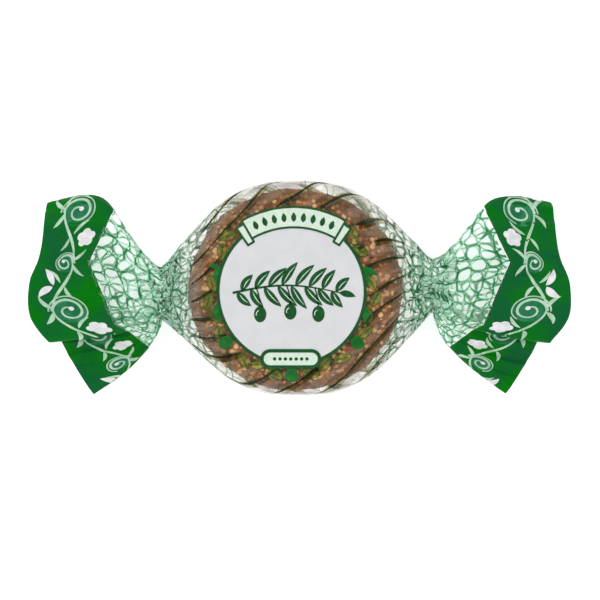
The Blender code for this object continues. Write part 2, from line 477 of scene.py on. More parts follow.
class Nodes:
    """A material's node tree, with short ways to add to it."""

    def __init__(self, name):
        self.material = bpy.data.materials.new(name)
        self.material.use_nodes = True
        self.tree = self.material.node_tree
        self.tree.nodes.clear()
        self.place = self.add("ShaderNodeTexCoord", "Object")

    def add(self, kind, output, inputs=(), **settings):
        """Adds a node and gives one of its outputs. inputs pairs its sockets with their values."""
        node = self.tree.nodes.new(kind)
        for key, value in settings.items():
            setattr(node, key, value)
        for socket, value in dict(inputs).items():
            if isinstance(value, bpy.types.NodeSocket):
                self.tree.links.new(value, node.inputs[socket])
            else:
                node.inputs[socket].default_value = value
        return node.outputs[output]

    def axis(self, letter):
        return self.add("ShaderNodeSeparateXYZ", letter, {0: self.place})

    def noise(self, scale, detail=4.0, roughness=0.5, where=None):
        inputs = {"Scale": scale, "Detail": detail, "Roughness": roughness}
        inputs["Vector"] = where or self.place
        return self.add("ShaderNodeTexNoise", "Fac", inputs)

    def cells(self, scale, output="Distance"):
        return self.add("ShaderNodeTexVoronoi", output, {"Scale": scale, "Vector": self.place})

    def ramp(self, value, *stops):
        ramp = self.add("ShaderNodeValToRGB", "Color", {"Fac": value})
        marks = ramp.node.color_ramp.elements
        while len(marks) < len(stops):
            marks.new(0.5)
        for mark, (at, colour) in zip(marks, stops):
            mark.position, mark.color = at, srgb(colour)
        return ramp

    def span(self, value, low, high, to_low, to_high):
        """Carries values from low to high over to another range, and stops at its ends."""
        numbers = enumerate((value, low, high, to_low, to_high))
        return self.add("ShaderNodeMapRange", "Result", numbers)

    def math(self, operation, a, b=0.0):
        return self.add("ShaderNodeMath", 0, {0: a, 1: b}, operation=operation)

    def times(self, first, *others):
        for other in others:
            first = self.math("MULTIPLY", first, other)
        return first

    def blend(self, share, a, b):
        return self.add("ShaderNodeMix", 2, {0: share, 6: a, 7: b}, data_type="RGBA")

    def bump(self, height, distance, strength=1.0):
        inputs = {"Strength": strength, "Distance": distance, "Height": height}
        return self.add("ShaderNodeBump", "Normal", inputs)

    def surface(self, **values):
        inputs = {key.replace("_", " "): value for key, value in values.items()}
        return self.add("ShaderNodeBsdfPrincipled", "BSDF", inputs)

    def clear(self, passes):
        """What lets light through, and which share of its red, green and blue."""
        return self.add("ShaderNodeBsdfTransparent", 0, {"Color": (*passes, 1)})

    def mix_shaders(self, share, a, b):
        return self.add("ShaderNodeMixShader", 0, enumerate((share, a, b)))

    def finish(self, shader):
        out = self.tree.nodes.new("ShaderNodeOutputMaterial")
        self.tree.links.new(shader, out.inputs["Surface"])
        return self.material


def grazing(m, least, most, power):
    """How much a film shows: least seen square on, and most along its surface."""
    facing = m.add("ShaderNodeLayerWeight", "Facing", {"Blend": 0.5})
    return m.span(m.math("POWER", facing, power), 0, 1, least, most)


def gathered_share(m):
    """1 round the necks, where the film is bunched up, and 0 over the body and in the tails."""
    x = m.math("ABSOLUTE", m.axis("X"))
    return m.times(m.span(x, 0.023, 0.032, 0, 1), m.span(x, 0.036, 0.046, 1, 0))


def from_middle(m):
    """Distance from the middle of the biscuit, as seen from above."""
    flatten = {0: m.place, 1: (1.0, 1.0, 0.0)}
    flat = m.add("ShaderNodeVectorMath", 0, flatten, operation="MULTIPLY")
    gap = {0: flat, 1: (BISCUIT_AT[0] * MM, BISCUIT_AT[1] * MM, 0.0)}
    return m.add("ShaderNodeVectorMath", "Value", gap, operation="DISTANCE")


def foot_haze(m):
    """How hazy the film is where it folds under the biscuit."""
    low = m.span(m.axis("Z"), 0.0015, 0.0060, 0.6, 0.0)
    patches = m.span(m.noise(260, 3.0), 0.36, 0.62, 0.15, 1.0)
    in_the_middle = m.span(m.math("ABSOLUTE", m.axis("X")), 0.014, 0.023, 1.0, 0.25)
    return m.times(low, m.span(from_middle(m), 0.0232, 0.0246, 0, 1), patches, in_the_middle)


def clear_film():
    m = Nodes("clear_film")
    crinkle = m.noise(900, 3.0)
    gloss = m.add(
        "ShaderNodeBsdfGlossy",
        0,
        {
            "Color": (1, 1, 1, 1),
            "Roughness": m.span(crinkle, 0.3, 0.7, 0.06, 0.16),
            "Normal": m.bump(crinkle, 0.0002, 0.35),
        },
    )
    shining = m.mix_shaders(grazing(m, 0.022, 0.6, 2.6), m.clear((0.998, 1.0, 0.999)), gloss)
    gathered = gathered_share(m)
    shade = m.blend(gathered, srgb((232, 236, 230)), srgb((214, 250, 230)))
    haze = m.surface(Base_Color=shade, Roughness=0.4)
    cloud = m.times(gathered, m.span(m.noise(420), 0.35, 0.65, 0.02, 0.24))
    haziness = m.math("ADD", m.math("ADD", cloud, grazing(m, 0.012, 0.50, 1.7)), foot_haze(m))
    return m.finish(m.mix_shaders(haziness, shining, haze))


def gathered_print():
    """Film bunched so tightly that its print shows as streaks of green and white."""
    m = Nodes("gathered_print")
    along = m.add("ShaderNodeMapping", 0, {"Scale": (0.35, 1.0, 1.0), "Vector": m.place})
    streaks = m.noise(1100, 3.0, 0.5, along)
    shade = m.ramp(streaks, (0.40, (60, 138, 92)), (0.45, (166, 230, 196)), (0.52, (238, 255, 246)))
    film = m.surface(Base_Color=shade, Roughness=0.35, Normal=m.bump(streaks, 0.0004, 0.5))
    cover = m.span(streaks, 0.38, 0.60, 0.55, 0.16)
    return m.finish(m.mix_shaders(cover, m.clear((1, 1, 1)), film))


def ink_or_painted_light(name, passes, colour, cover, roughness=0.25, vary=0.12):
    """Printed ink on clear film, also used for painted fold shade and highlight: it tints what is
    behind it and covers a share of it.
    """
    m = Nodes(name)
    vary = min(cover, vary)
    patchy = m.span(m.noise(700, 2.0), 0.3, 0.7, cover - vary, cover + vary)
    solid = m.surface(Base_Color=srgb(colour), Roughness=roughness, Specular_IOR_Level=0.2)
    return m.finish(m.mix_shaders(patchy, m.clear(passes), solid))


def solid_print(name, light, dark, roughness=0.28, scale=1500.0, gloss=0.25, crinkled=0.4):
    """Dense print on film: even colour with faint patches and a fine crinkle."""
    m = Nodes(name)
    patches = m.span(m.noise(scale, 3.0), 0.40, 0.62, 0, 1)
    crinkle = m.noise(420, 4.0)
    return m.finish(
        m.surface(
            Base_Color=m.blend(patches, srgb(dark), srgb(light)),
            Roughness=m.span(crinkle, 0.3, 0.7, roughness - 0.08, roughness + 0.1),
            Specular_IOR_Level=gloss,
            Normal=m.bump(crinkle, 0.0002, crinkled),
        )
    )


def baked_crumb():
    """Crumb of bright and dark lumps on top, and plainer towards its edge and down its side."""
    m = Nodes("baked_crumb")
    broad, fine, radius = m.noise(170, 4.0), m.noise(900, 6.0, 0.6), from_middle(m)
    lumps, shaded_pits = m.cells(800), m.cells(1300)
    crust = m.ramp(broad, (0.32, (104, 65, 35)), (0.50, (144, 93, 56)), (0.68, (165, 112, 70)))
    # The crust turns darker and yellower towards the edge of the top, by distance from the middle
    darker_outward = m.span(radius, 0.0196, 0.0222, 0.0, 0.48)
    crust = m.blend(darker_outward, crust, srgb((108, 76, 22)))
    crumbs = m.ramp(
        m.cells(800, "Color"),
        (0.24, (82, 48, 22)),
        (0.40, (156, 90, 44)),
        (0.54, (228, 142, 78)),
        (0.76, (250, 206, 144)),
    )
    on_top = m.span(m.axis("Z"), 0.0148, 0.0162, 0.1, 1)
    inner = m.span(radius, 0.0218, 0.0242, 1.0, 0.35)
    spread = m.span(m.noise(240, 2.0), 0.32, 0.50, 0.25, 1.0)
    lumpy = m.times(m.span(lumps, 0.36, 0.62, 1, 0), on_top, spread, inner)
    mixed = m.blend(lumpy, crust, crumbs)
    height = m.math("SUBTRACT", fine, lumps)
    return m.finish(
        m.surface(
            # Dark specks at the small pits are painted shade
            Base_Color=m.blend(m.span(shaded_pits, 0.0, 0.3, 0.6, 0.0), mixed, srgb((66, 38, 20))),
            Roughness=m.span(fine, 0.3, 0.7, 0.75, 0.95),
            Specular_IOR_Level=0.3,
            Normal=m.bump(height, 0.0007, 0.9),
        )
    )


def sesame_seed():
    m = Nodes("sesame_seed")
    shade = m.ramp(m.noise(1100, 3.0), (0.35, (182, 126, 66)), (0.65, (222, 178, 118)))
    normal = m.bump(m.noise(1500), 0.0003)
    return m.finish(m.surface(Base_Color=shade, Roughness=0.55, Normal=normal))


# The film


def make_film(sheet):
    """The clear sheet, and the green band at each end of it."""
    wrapped("clear_film", [sheet.rows[BAND_ROWS:-BAND_ROWS]], clear_film())
    green = solid_print("green_band", (2, 108, 8), (12, 90, 44), 0.3, 110.0, 0.05)
    ends = sheet.rows[: BAND_ROWS + 1], sheet.rows[-BAND_ROWS - 1 :]
    wrapped("end_bands", ends, green)


KNOT_WAIST = 0.08  # how narrow the film gets inside a neck, as a share of the neck
KNOT_REACH = 5.0
KNOT_INSET = 0.12  # how far inside the neck it starts
KNOT_ROWS = 27
KNOT_PLEATS = 11
KNOT_PLEAT_DEPTH = 0.6
KNOT_TWIST = 1.6


def make_knots(sheet):
    """The film inside each neck, drawn in from both sides to a narrow waist, in deep pleats."""
    shares = np.arange(ROUND) / ROUND
    strips = []
    for neck in sheet.necks:
        strip = []
        for step in np.linspace(-1, 1, KNOT_ROWS):
            along = np.full(ROUND, neck + KNOT_REACH * step)
            ring = sheet.at(shares * SHEET_WIDTH, along, -KNOT_INSET)
            pleats = 0.5 + 0.5 * np.cos(math.tau * KNOT_PLEATS * shares + KNOT_TWIST * step)
            width = KNOT_WAIST + (1 - KNOT_WAIST) * abs(step) ** 0.7
            width = width * (1 - KNOT_PLEAT_DEPTH * (1 - abs(step)) * pleats)
            centre = ring.mean(axis=0)
            strip.append(centre + (ring - centre) * width[:, None])
        strips.append(np.array(strip))
    wrapped("neck_folds", strips, gathered_print())


# The net printed on it

ROPE_REACH = 28.0
LINKS = range(-24, 25, 6)  # where a thin line may run from one slanting line to the next
LINKS_LEFT_OUT = 0.45
CELL = 3.1  # across a cell of the net
CELL_SWAY = 0.3  # how far a cell's middle may be off its place, as a share of CELL
CELL_CROWDING = 0.65  # 1 keeps the cells' width where the film is bunched up, and 0 their number
CELL_EDGE = 0.475  # where a cell's edge lies on the way to its neighbour
NET_FROM = 16.0  # distance from the middle at which the net starts
FULL_LINES_FROM = 24.0  # and at which its lines reach their full width
DENSER_FROM = 7.0  # and how far before a neck they turn greener
GLOW = 0.24  # how far the pale edge of a line reaches past it
TANGLES = 170


def rounded(loop):
    """A closed line with its corners cut, twice over."""
    for _ in range(2):
        after = np.roll(loop, -1, axis=0)
        loop = np.stack([0.75 * loop + 0.25 * after, 0.25 * loop + 0.75 * after], axis=1)
        loop = loop.reshape(-1, 2)
    return loop


def off_label(sheet, line):
    """Which places of a line lie outside the label."""
    x, y, z = sheet.at(*line.T, 0.0).T
    label = np.hypot(x - LABEL_AT[0], y - LABEL_AT[1]) > LABEL_RADIUS + 1.3
    banner = np.hypot(x - BANNER_AT[0], y - BANNER_AT[1]) > BANNER_RADII[1] + 0.3
    return label & (banner | (y < 10)) | (z < CENTRE_Z)


def off_biscuit(sheet, line, overlap):
    """Which places of a line lie beside the biscuit, as seen from above, or just over its edge."""
    x, y, _ = sheet.at(*line.T, 0.0).T
    x, y = (x - BISCUIT_AT[0]) / BISCUIT_STRETCH, y - BISCUIT_AT[1]
    return np.hypot(x, y) > BISCUIT_RADIUS - overlap


def draw_kept(shapes, line, widths, kept):
    """The stretches of a line that are kept."""
    edges = np.flatnonzero(np.diff([0, *kept, 0]))
    for start, end in edges.reshape(-1, 2):
        if end - start > 1:
            shapes.stroke(line[start:end], widths[start:end])


def draw_ropes(ropes, links, painted_shade_strips, painted_glint_strips, sheet, rng):
    """Slanting lines over the body, with painted fold shade and a painted highlight by each, and links
    between.
    """
    gap = SHEET_WIDTH / ROPES
    v = np.linspace(-ROPE_REACH, ROPE_REACH, 90)
    lines = []
    for n in range(ROPES):
        slow, fast = rng.uniform(0.2, 0.7), rng.uniform(0.1, 0.4)
        sway = slow * np.sin(0.2 * v + rng.uniform(0, 6))
        sway = sway + fast * np.sin(0.5 * v + rng.uniform(0, 6))
        line = np.column_stack([n * gap + rng.uniform(-1, 1) - ROPE_SLANT * v + sway, v])
        widths = rng.uniform(0.22, 0.32) + 0.09 * np.sin(0.9 * v + rng.uniform(0, 6))
        fade = np.clip((ROPE_REACH - np.abs(v)) / 8, 0.1, 1)
        for shapes, shift, half_widths in (
            (ropes, 0.0, widths),
            # painted shade of a fold, just beside the line
            (painted_shade_strips, 0.45, (0.85 + 2 * (widths - 0.25)) * fade),
            # painted highlight of a fold, about half a gap back from the line
            (painted_glint_strips, -gap * 0.45, (1.0 - 3 * (widths - 0.25)) * fade),
        ):
            moved = line + [shift, 0.0]
            draw_kept(shapes, moved, half_widths, off_label(sheet, moved))
        lines.append(line)
    share = np.linspace(0, 1, 14)
    for n in range(ROPES):
        for at in LINKS:
            if rng.random() < LINKS_LEFT_OUT:
                continue
            i = int(np.argmin(np.abs(v - at - rng.uniform(-2, 2))))
            j = min(len(v) - 1, i + rng.randint(1, 9))
            a, b = lines[n][i], lines[(n + 1) % ROPES][j].copy()
            if b[0] < a[0]:
                b[0] += SHEET_WIDTH
            bend = np.array([0.0, rng.uniform(-1.6, 1.6)])
            line = a + (b - a) * share[:, None] + bend * (4 * share * (1 - share))[:, None]
            widths = np.full(len(line), rng.uniform(0.08, 0.13))
            draw_kept(links, line, widths, off_label(sheet, line))


def cell_middles(sheet, rng, start, end):
    """Places in uneven rows, one cell apart, from one place along the film to another."""
    side = 1 if end > start else -1
    middles, v = [], start
    while (end + side * CELL - v) * side > 0:
        count = round(SHEET_WIDTH * sheet.tight(v) ** CELL_CROWDING / CELL)
        shift = rng.random()
        for j in range(count):
            u = (j + shift + rng.uniform(-CELL_SWAY, CELL_SWAY)) * SHEET_WIDTH / count
            middles.append((u, v + rng.uniform(-CELL_SWAY, CELL_SWAY) * CELL))
        v += side * CELL * rng.uniform(0.8, 1.05)
    return np.array(middles)


def cut_back(loop, neighbour):
    """What is left of a closed line round the origin when a neighbour takes its side of it."""
    over = loop @ neighbour / (neighbour @ neighbour) - CELL_EDGE
    kept = []
    for k in range(len(loop)):
        if over[k - 1] * over[k] < 0:
            share = over[k - 1] / (over[k - 1] - over[k])
            kept.append(loop[k - 1] + (loop[k] - loop[k - 1]) * share)
        if over[k] <= 0:
            kept.append(loop[k])
    return np.array(kept)


def draw_cells(near, far, sheet, rng, start, change, end):
    """Rounded cells that fill the film from start to end, drawn in far beyond change."""
    side = 1 if end > start else -1
    middles = cell_middles(sheet, rng, start, end)
    square = 1.4 * CELL * np.array([[1, 1], [-1, 1], [-1, -1], [1, -1]])
    for u, v in middles:
        tight = sheet.tight(v)
        gaps = middles - [u, v]
        gaps[:, 0] = ((gaps[:, 0] / SHEET_WIDTH + 0.5) % 1 - 0.5) * SHEET_WIDTH * tight
        lengths = np.hypot(gaps[:, 0], gaps[:, 1])
        loop = square
        for k in np.argsort(lengths)[1:]:
            if lengths[k] > 2.5 * CELL:
                break
            loop = cut_back(loop, gaps[k])
        loop = rounded(loop) / [tight, 1.0] + [u, v]
        weight = 0.2 + 0.8 * min(1.0, (abs(v) - NET_FROM) / (FULL_LINES_FROM - NET_FROM))
        weight = max(0.2, weight) * tight**0.3
        turn = math.tau * np.arange(len(loop)) / len(loop)
        sway = np.cos(turn + rng.uniform(0, 6)) + 0.6 * np.cos(2 * turn + rng.uniform(0, 6))
        widths = weight * rng.uniform(0.08, 0.17) * np.maximum(1.2 + 0.8 * sway, 0.25)
        inside = ((end - loop[:, 1]) * side > 0) & off_biscuit(sheet, loop, 0.6)
        for shapes, more in zip(near if (change - v) * side > 0 else far, (0.0, GLOW)):
            if inside.all():
                shapes.stroke(loop, widths + more, closed=True)
            elif inside.any():
                first = -int(np.argmin(inside))
                rolled = (np.roll(a, first, axis=0) for a in (loop, widths + more, inside))
                draw_kept(shapes, *rolled)


def draw_tangle(tangle, sheet, rng, neck):
    """Short thick strokes, where the print is bunched up at a neck."""
    side = 1 if neck > 0 else -1
    share = np.linspace(-0.5, 0.5, 8)
    for _ in range(TANGLES):
        v = neck + side * rng.triangular(-12, 6, -2)
        u = rng.uniform(0, SHEET_WIDTH)
        step = rng.uniform(1.2, 4.2) * np.gradient(share)
        heading = side * rng.uniform(0.3, 2.2) + rng.uniform(-2.0, 2.0) * share
        across = np.cumsum(step * np.sin(heading)) / sheet.tight(v)
        line = np.column_stack([u + across, v + np.cumsum(step * np.cos(heading))])
        widths = rng.uniform(0.14, 0.38) * np.cos(math.pi * share * 0.9)
        draw_kept(tangle, line, widths, off_biscuit(sheet, line, 0.8))


def make_net(sheet):
    """A lace of green lines over the clear film, left out under the label."""
    rng = random.Random(7)
    ropes, painted_shade_strips, painted_glint_strips, threads, glow, body_threads, body_glow, tangle = (
        Shapes(sheet, lift) for lift in (0.06, -0.04, -0.07, 0.05, 0.03, 0.05, 0.03, 0.07)
    )
    draw_ropes(ropes, body_threads, painted_shade_strips, painted_glint_strips, sheet, rng)
    for neck, band in zip(sheet.necks, sheet.bands):
        side = 1 if neck > 0 else -1
        near, far = (body_threads, body_glow), (threads, glow)
        draw_cells(near, far, sheet, rng, side * NET_FROM, neck - side * DENSER_FROM, band)
        draw_tangle(tangle, sheet, rng, neck)
    for name, shapes, *look in (
        ("rope_print", ropes, "rope_ink", (0.16, 0.18, 0.09), (50, 76, 42), 0.3),
        # Painted shade of the film's folds, beside the slanting lines
        ("fold_shades", painted_shade_strips, "shade_film", (0.54, 0.51, 0.36), (96, 88, 66), 0.05),
        # Painted highlight on the film's folds, between the slanting lines
        ("fold_glints", painted_glint_strips, "hazy_film", (0.98,) * 3, (232, 206, 188), 0.09, 0.3, 0.03),
        ("net_print", threads, "net_ink", (0.18, 0.50, 0.30), (56, 132, 84), 0.34),
        ("net_glow", glow, "glow_ink", (0.90, 0.99, 0.94), (208, 236, 220), 0.13),
        ("shoulder_print", body_threads, "shoulder_ink", (0.46, 0.62, 0.50), (96, 130, 108), 0.26),
        ("shoulder_glow", body_glow, "shoulder_haze", (0.97, 0.985, 0.97), (214, 216, 208), 0.07),
        ("neck_print", tangle, "neck_ink", (0.08, 0.32, 0.17), (30, 104, 60), 0.5),
    ):
        shapes.make(name, ink_or_painted_light(*look))


# The vine on its green bands

VINE_PERIODS = 5
VINE_SWAY = 2.9
CURLS = (1, 0.25, 3.4), (-1, 0.75, 2.5)  # side of the stem, place in a period, and size
CURL_AT = 0.3, 3.1  # its middle is this far along, and its size less than this far aside
CURL_STEPS = 44
CURL_LEAVES = (  # root and tip, from the curl's place on the stem, and half width
    ((0.5, 2.9), (3.9, 5.2), 0.5),
    ((-0.4, 2.8), (-3.6, 5.6), 0.45),
)
STEM_LEAVES = (  # the same, from a quarter of a period further on
    ((0.3, 0.3), (3.4, 1.8), 0.42),
    ((-0.6, -0.6), (-4.0, -3.6), 0.38),
)
WHITE_LEAVES = ((0.0, -2.2), (-4.4, -4.6), 0.75), ((0.4, -2.4), (3.0, -5.4), 0.85)
BLOSSOM_ASIDE = -4.2


def make_vine(sheet):
    """A running vine of curls, leaves and blossoms on both faces of each green band."""
    fills, stems, blossoms = (Shapes(sheet, lift, -lift) for lift in (0.03, 0.10, 0.15))
    draw_vine(fills, stems, blossoms, (sheet.bands[0] + sheet.along[0]) / 2, -1)
    draw_vine(fills, stems, blossoms, (sheet.bands[1] + sheet.along[-1]) / 2, 1)
    for name, shapes, *look in (
        ("vine_fills", fills, "vine_teal", (50, 122, 84), (26, 104, 64), 0.3, 300.0, 0.05),
        ("vine_print", stems, "vine_white", (178, 208, 182), (152, 188, 160), 0.3, 400.0, 0.2),
        ("blossom_print", blossoms, "blossom_white", (226, 222, 226), (204, 208, 206), 0.3, 600.0),
    ):
        shapes.make(name, solid_print(*look))


def draw_vine(fills, stems, blossoms, middle, out):
    """One band's vine, round the whole tail: a large and a small curl by turns."""
    length = SHEET_WIDTH / VINE_PERIODS
    quarter = 0.25 * length

    def place(u, v):
        return np.stack([u, middle + out * v], -1)

    def leaves(shapes, u0, up, rows):
        for (u1, v1), (u2, v2), half_width in rows:
            ends = place(u0 + np.array([u1, u2]), up * np.array([v1, v2]))
            shapes.leaf(*ends, half_width, 0.45 * up)

    u = np.linspace(0, SHEET_WIDTH, 40 * VINE_PERIODS)
    wave = math.tau * u / length
    stems.stroke(place(u, VINE_SWAY * np.sin(wave)), 0.27 + 0.08 * np.cos(2 * wave))
    turn = np.linspace(0, 1, CURL_STEPS)
    for n in range(VINE_PERIODS):
        for up, at, size in CURLS:
            u0 = (n + at) * length
            u1, v1 = u0 + CURL_AT[0], up * (CURL_AT[1] - size)
            fills.disc(place(u1, v1), size, 4, 28)
            angle = up * (math.pi / 2 + math.tau * 1.35 * turn)
            for radius, half_widths, kept in (
                (size * (1 - 0.76 * turn), 0.32 * (1 - 0.45 * turn), CURL_STEPS),
                (size * (1.22 - 0.5 * turn), 0.17 * (1 - 0.6 * turn), CURL_STEPS // 2),
            ):
                curl = place(u1 + radius * np.cos(angle), v1 + radius * np.sin(angle))
                stems.stroke(curl[:kept], half_widths[:kept])
                if kept == CURL_STEPS:
                    blossoms.disc(curl[-1], 0.55, 2, 12)
            leaves(stems, u0, up, CURL_LEAVES)
            leaves(stems, u0 + quarter, up, STEM_LEAVES)
            if up > 0:
                u1, v1 = u0 + quarter, BLOSSOM_ASIDE
                for k in range(5):
                    a = math.tau * k / 5 + 0.4
                    petal = place(u1 + 1.25 * math.cos(a), v1 + 1.25 * math.sin(a))
                    blossoms.disc(petal, 1.05, 2, 14)
                blossoms.disc(place(u1, v1), 0.7, 1, 12)
            else:
                leaves(blossoms, u0 + quarter, up, WHITE_LEAVES)


# The label, with an olive sprig, a banner and a pill on it

BANNER_AT = (-1.4, -5.5)
BANNER_RADII = 20.1, 25.0
BANNER_PARTS = (  # its two ends and its middle: angles from and to, and how far out they are set
    (55.2, 60.0, -0.9),
    (120.0, 124.8, -0.9),
    (60.0, 120.0, 0.0),
)
LOZENGES = 9
LOZENGE_HALF = 1.15, 0.62
PILL_AT = (-2.1, -17.1)
PILL_HALF = 7.05, 2.05
PILL_DOTS = np.linspace(-3.9, 3.9, 7)
OUTLINE = 0.26  # half the width of the banner's lines
SPRIG_REACH = 13.0
SPRIG_PAIRS = 8
SPRIG_OLIVES = 0.22, 0.50, 0.76  # shares along the stem


def pill_line(inset):
    """The pill's outline, drawn in from its edge."""
    half_x, radius = PILL_HALF[0] - PILL_HALF[1], PILL_HALF[1] - inset
    right = around((half_x, 0.0), np.linspace(-90, 90, 15), radius)
    loop = np.vstack([right, -right, right[:1]])
    return respaced(loop, np.linspace(0, 1, 70)) + PILL_AT


def make_label(top):
    """A white round in a green ring, and the sprig, banner and pill on it."""
    white, green, plates, lines = (Shapes(top, lift) for lift in (0.07, 0.11, 0.15, 0.19))
    white.disc(LABEL_AT, LABEL_RADIUS, 26, 96)
    green.arc(LABEL_AT, LABEL_RADIUS + RING_WIDTH / 2 - 0.15, 0, 360, RING_WIDTH / 2, 0.5, 3)
    draw_sprig(green, plates)
    for start, end, out in BANNER_PARTS:
        angles = np.linspace(start, end, max(6, int(end - start)))[None, :]
        plates.grid(around(BANNER_AT, angles, np.linspace(*BANNER_RADII, 9)[:, None] + out))
    shares = np.linspace(0.02, 1, 5)[:, None, None]
    plates.grid(PILL_AT + (pill_line(0.0) - PILL_AT) * shares)
    draw_plates(lines)
    paper = solid_print("label_white", (207, 207, 209), (202, 203, 205), 0.4, 300.0, 0.25, 0.12)
    dark = solid_print("label_green", (20, 84, 38), (14, 70, 30), 0.3)
    pale = solid_print("plate_white", (209, 223, 209), (197, 214, 198), 0.4)
    white.make("label_white", paper)
    green.make("label_green", dark)
    plates.make("label_plates", pale)
    lines.make("plate_lines", dark)


def draw_plates(lines):
    """The outlines of the banner and the pill, with plain lozenges and dots in them."""
    for start, end, out in BANNER_PARTS:
        inner, outer = BANNER_RADII[0] + out, BANNER_RADII[1] + out
        for radius in (inner, outer):
            lines.arc(BANNER_AT, radius, start, end, OUTLINE, 0.6)
        for angle in (start, end):
            lines.stroke(around(BANNER_AT, angle, np.linspace(inner - 0.2, outer + 0.2, 8)), OUTLINE)
    half_length, half_width = LOZENGE_HALF
    radii = (inner + outer) / 2 + np.array([-half_length, half_length])
    for angle in np.linspace(start + 6, end - 6, LOZENGES):
        lines.leaf(*around(BANNER_AT, angle, radii), half_width, 0.0, 7, 3)
    lines.stroke(pill_line(0.1), 0.42)
    for x in PILL_DOTS:
        lines.disc((PILL_AT[0] + x, PILL_AT[1]), 0.42, 1, 10)


def on_stem(share):
    """A place on the sprig's bowed stem."""
    x = (2 * share - 1) * SPRIG_REACH - 1.2
    return np.array([LABEL_AT[0] + x, LABEL_AT[1] + 1.8 * np.sin(math.pi * share) - 0.4])


def draw_sprig(green, pale):
    """An olive sprig across the label's middle, with a pale vein in each leaf."""
    shares = np.linspace(0, 1, 40)
    green.stroke([on_stem(share) for share in shares], 0.30 - 0.16 * shares)
    for k in range(SPRIG_PAIRS):
        share = (k + 0.5) / SPRIG_PAIRS
        size = 6.9 - 2.6 * abs(2 * share - 1) ** 1.5
        for up in (-1, 1):
            root = on_stem(share + 0.02 * up)
            lean = math.radians(50 + 6 * math.sin(2.2 * k + up))
            ahead = np.array([math.cos(lean), up * math.sin(lean)])
            tip = root + ahead * size
            green.leaf(root, tip, 0.98, 0.35 * up, 13)
            pale.leaf(root + ahead * 0.9, tip - ahead * 1.1, 0.11, 0.24 * up, 9, 2)
    tip = on_stem(1.0)
    green.leaf(tip - [0.3, 0.0], tip + [3.6, -0.9], 0.8, 0.2, 11)
    stalk = np.array([[0.0, 0.0], [0.5, -1.41], [0.8, -3.055], [0.9, -4.7]])
    for share in SPRIG_OLIVES:
        root = on_stem(share)
        green.stroke(root + stalk, 0.17)
        olive = root + [0.9, -6.3]
        green.disc(olive, 1.5, 3, 24, 1.3)
        pale.arc(olive, 0.95, 110, 200, 0.1, 0.3)


# The wreath printed round the label

WREATH_RADIUS = LABEL_RADIUS + 2.4
WREATH_PLACES = range(6, 360, 12)
WREATH_LEAF = 1.15  # half the width of one
WREATH_OLIVES = 218, 270, 322
WREATH_GAPS = *WREATH_OLIVES, 16, 164  # where its row of leaves is broken
WREATH_SPRAYS = (  # solid green leaves: angle and radius of root and tip, and half width
    (162, 18.0, 163, 20.8, 0.62),
    (161, 18.3, 174, 18.5, 0.66),
    (189, 18.3, 203, 19.0, 0.78),
    (18, 18.0, 10, 21.2, 0.66),
    (19, 18.3, 5, 18.5, 0.62),
    (-12, 18.3, -24, 19.0, 0.78),
)


def make_wreath(top):
    """Leaves and olives printed round the label, over the biscuit."""
    fills, leaves, olives = (Shapes(top, lift) for lift in (0.05, 0.08, 0.10))
    for n, angle in enumerate(WREATH_PLACES):
        if 62 < angle < 118 or min(abs(angle - at) for at in WREATH_GAPS) < 7:
            continue
        out = 1 if n % 2 else -1
        root = around(LABEL_AT, angle - 5, WREATH_RADIUS - 0.4 * out)
        tip = around(LABEL_AT, angle + 7, WREATH_RADIUS + 1.5 * out)
        fills.leaf(root, tip, WREATH_LEAF, 0.0, 11)
        line, aside, widths = leaf_shape(root, tip, WREATH_LEAF, 0.0, 11)
        for side in (-1, 0, 1):
            leaves.stroke(line + aside * side * widths[:, None], 0.11)
    for angle in WREATH_OLIVES:
        at = around(LABEL_AT, angle, WREATH_RADIUS + 0.2)
        olives.disc(at, 1.8, 3, 20, 0.85, math.radians(angle))
    for from_angle, from_radius, to_angle, to_radius, half_width in WREATH_SPRAYS:
        root = around(LABEL_AT, from_angle, from_radius)
        tip = around(LABEL_AT, to_angle, to_radius)
        olives.leaf(root, tip, half_width, 0.25 if from_angle > to_angle else -0.25, 11)
    fills.make("wreath_fills", ink_or_painted_light("leaf_tint", (0.88, 0.98, 0.74), (120, 142, 70), 0.32))
    leaves.make("wreath_leaves", ink_or_painted_light("leaf_ink", (0.48, 0.66, 0.32), (70, 100, 40), 0.32))
    green = solid_print("olive_green", (20, 112, 36), (14, 92, 28), 0.3, 500.0)
    olives.make("wreath_olives", green)


# The biscuit inside


def biscuit_profile():
    """Radius and height down the biscuit's outside, from its top to its base, and their slopes."""
    upper, lower = BISCUIT_EDGES
    turns = np.radians(np.arange(0, 91, 6))
    s, c = np.sin(turns), np.cos(turns)
    top_edge = BISCUIT_RADIUS - upper * (1 - s), BISCUIT_TOP - upper * (1 - c)
    base_edge = BISCUIT_RADIUS - lower * (1 - c), BISCUIT_BASE + lower * (1 - s)
    edges = (np.column_stack(edge) for edge in (top_edge, base_edge))
    line = np.vstack([(0.0, BISCUIT_TOP), *edges, (0.0, BISCUIT_BASE)])
    count = int(lengths_along(line)[-1] / BISCUIT_STEP) + 1
    profile = respaced(line, np.linspace(0, 1, count))
    return profile, unit(np.gradient(profile, axis=0))


def crumble(point, outward):
    """How far the biscuit's surface stands out or in at a point."""
    lumps = noise.noise(point / 6.5) * 0.55 + noise.noise(point / 2.4 + Vector((7, 0, 0))) * 0.30
    grain = noise.noise(point / 0.95) * 0.16
    cells = noise.voronoi(point / 1.7)[0]
    crumbs = 0.22 * min(1.0, (cells[1] - cells[0]) * 2.2) - 0.12
    crack = abs(noise.noise(point / 7.5 + Vector((3, 5, 9))))
    cracks = -0.9 * max(0.0, 1 - crack / 0.05) * (1 - abs(outward[2])) ** 0.5
    return lumps + grain + crumbs + cracks - 0.35


